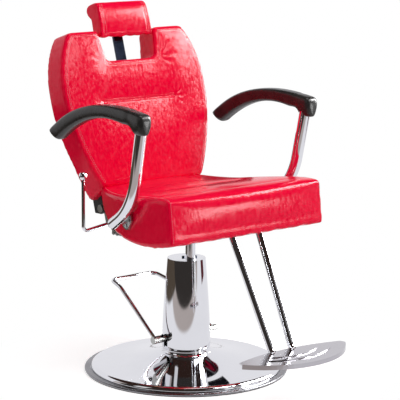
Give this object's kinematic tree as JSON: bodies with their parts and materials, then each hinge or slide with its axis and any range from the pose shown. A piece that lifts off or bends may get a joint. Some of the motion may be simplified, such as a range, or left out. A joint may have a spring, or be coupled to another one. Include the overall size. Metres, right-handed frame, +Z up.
{
  "type": "hydraulic barber chair",
  "caption": "Hydraulic barber chair: padded seat and reclining back, lifting headrest, open arms, footrest, foot pump and round swivel base.",
  "frame": {"origin": "middle of the round base, on the floor", "axes": "+Z up, -Y the way the sitter faces, +X the sitter's left"},
  "size_m": [0.652, 0.9495, 1.0617],
  "materials": {
    "chrome_plate": "polished",
    "polished_ram": "polished",
    "brushed_rim": "satin",
    "zinc_steel": "satin",
    "black_rubber": "matte",
    "cast_body": "matte",
    "bronze": "satin",
    "black_frame": "satin",
    "black_oxide": "satin",
    "plywood": "matte",
    "red_vinyl": "gloss",
    "pad_foam": "satin",
    "black_plastic": "satin"
  },
  "bodies": {
    "base": {"base_dish": "chrome_plate", "base_rim": "brushed_rim", "base_gasket": "black_rubber", "base_stiffener": "black_frame", "neck_ring": "chrome_plate", "pump_body": "cast_body", "pump_bolts": "zinc_steel", "pump_cover": "chrome_plate", "pump_cap": "chrome_plate", "cap_screws": "black_oxide", "guide_bush": "bronze", "ram_seal": "black_rubber", "shaft_bushes": "bronze"},
    "pedal": {"pedal_shaft": "zinc_steel", "pedal_loop": "chrome_plate", "pedal_clamps": "zinc_steel", "clamp_screws": "black_oxide", "pump_cam": "cast_body"},
    "plunger": {"plunger": "zinc_steel"},
    "lift": {"ram": "polished_ram", "ram_piston": "cast_body", "ram_nut": "zinc_steel"},
    "seat": {"swivel_hub": "cast_body", "swivel_plate": "black_frame", "plate_bolts": "zinc_steel", "rail_right": "black_frame", "rail_left": "black_frame", "front_cross": "black_frame", "rear_cross": "black_frame", "seat_board": "plywood", "side_planks": "plywood", "seat_cushion": "red_vinyl", "arm_right": "chrome_plate", "arm_left": "chrome_plate", "pad_right": "pad_foam", "pad_left": "pad_foam", "arm_gussets": "zinc_steel", "arm_bolts": "zinc_steel", "arm_plugs": "black_plastic", "foot_flange": "black_frame", "foot_tube_right": "chrome_plate", "foot_tube_left": "chrome_plate", "foot_plate": "chrome_plate", "foot_caps": "black_plastic", "hinge_brackets": "zinc_steel", "lock_housing": "black_frame", "lock_mount": "black_frame"},
    "back": {"hinge_axle": "zinc_steel", "hinge_arms": "black_frame", "lock_lug": "black_frame", "back_board": "plywood", "back_cushion": "red_vinyl", "back_panel": "red_vinyl", "headrest_guide": "black_frame"},
    "headrest": {"headrest_bar": "black_oxide", "headrest_plate": "black_frame", "headrest_cushion": "red_vinyl"},
    "lever": {"lever_rod": "chrome_plate", "lever_ball": "chrome_plate"},
    "lock": {"lock_rod": "zinc_steel"}
  },
  "joints": [
    {"name": "pedal_hinge", "type": "hinge", "parent": "base", "child": "pedal", "pos_m": [0, 0.008, 0.101], "axis": [-1, 0, 0], "range_deg": [0, 22], "stiffness_Nm_per_rad": 10, "springref_deg": -28.65},
    {"name": "plunger_slide", "type": "slide", "parent": "base", "child": "plunger", "axis": [0, 0, -1], "range_m": [0, 0.00675]},
    {"name": "lift_slide", "type": "slide", "parent": "base", "child": "lift", "axis": [0, 0, 1], "range_m": [0, 0.15]},
    {"name": "seat_swivel", "type": "hinge", "parent": "lift", "child": "seat", "pos_m": [0, -0.018, 0.394], "axis": [0, 0, 1], "continuous": true},
    {"name": "back_recline", "type": "hinge", "parent": "seat", "child": "back", "pos_m": [0, 0.203, 0.468], "axis": [-1, 0, 0], "range_deg": [0, 35]},
    {"name": "lock_slide", "type": "slide", "parent": "seat", "child": "lock", "axis": [0, -1, 0], "range_m": [0, 0.0434]},
    {"name": "headrest_slide", "type": "slide", "parent": "back", "child": "headrest", "axis": [0, 0.299, 0.9542], "range_m": [-0.02, 0.1]},
    {"name": "lever_hinge", "type": "hinge", "parent": "seat", "child": "lever", "pos_m": [-0.157, 0.168, 0.428], "axis": [1, 0, 0], "range_deg": [0, 12], "stiffness_Nm_per_rad": 1.5, "springref_deg": -11.46}
  ],
  "couplings": [
    {"joint": "plunger_slide", "follows": "pedal_hinge", "m_per_rad": 0.01756},
    {"joint": "lock_slide", "follows": "back_recline", "m_per_rad": 0.07089}
  ]
}
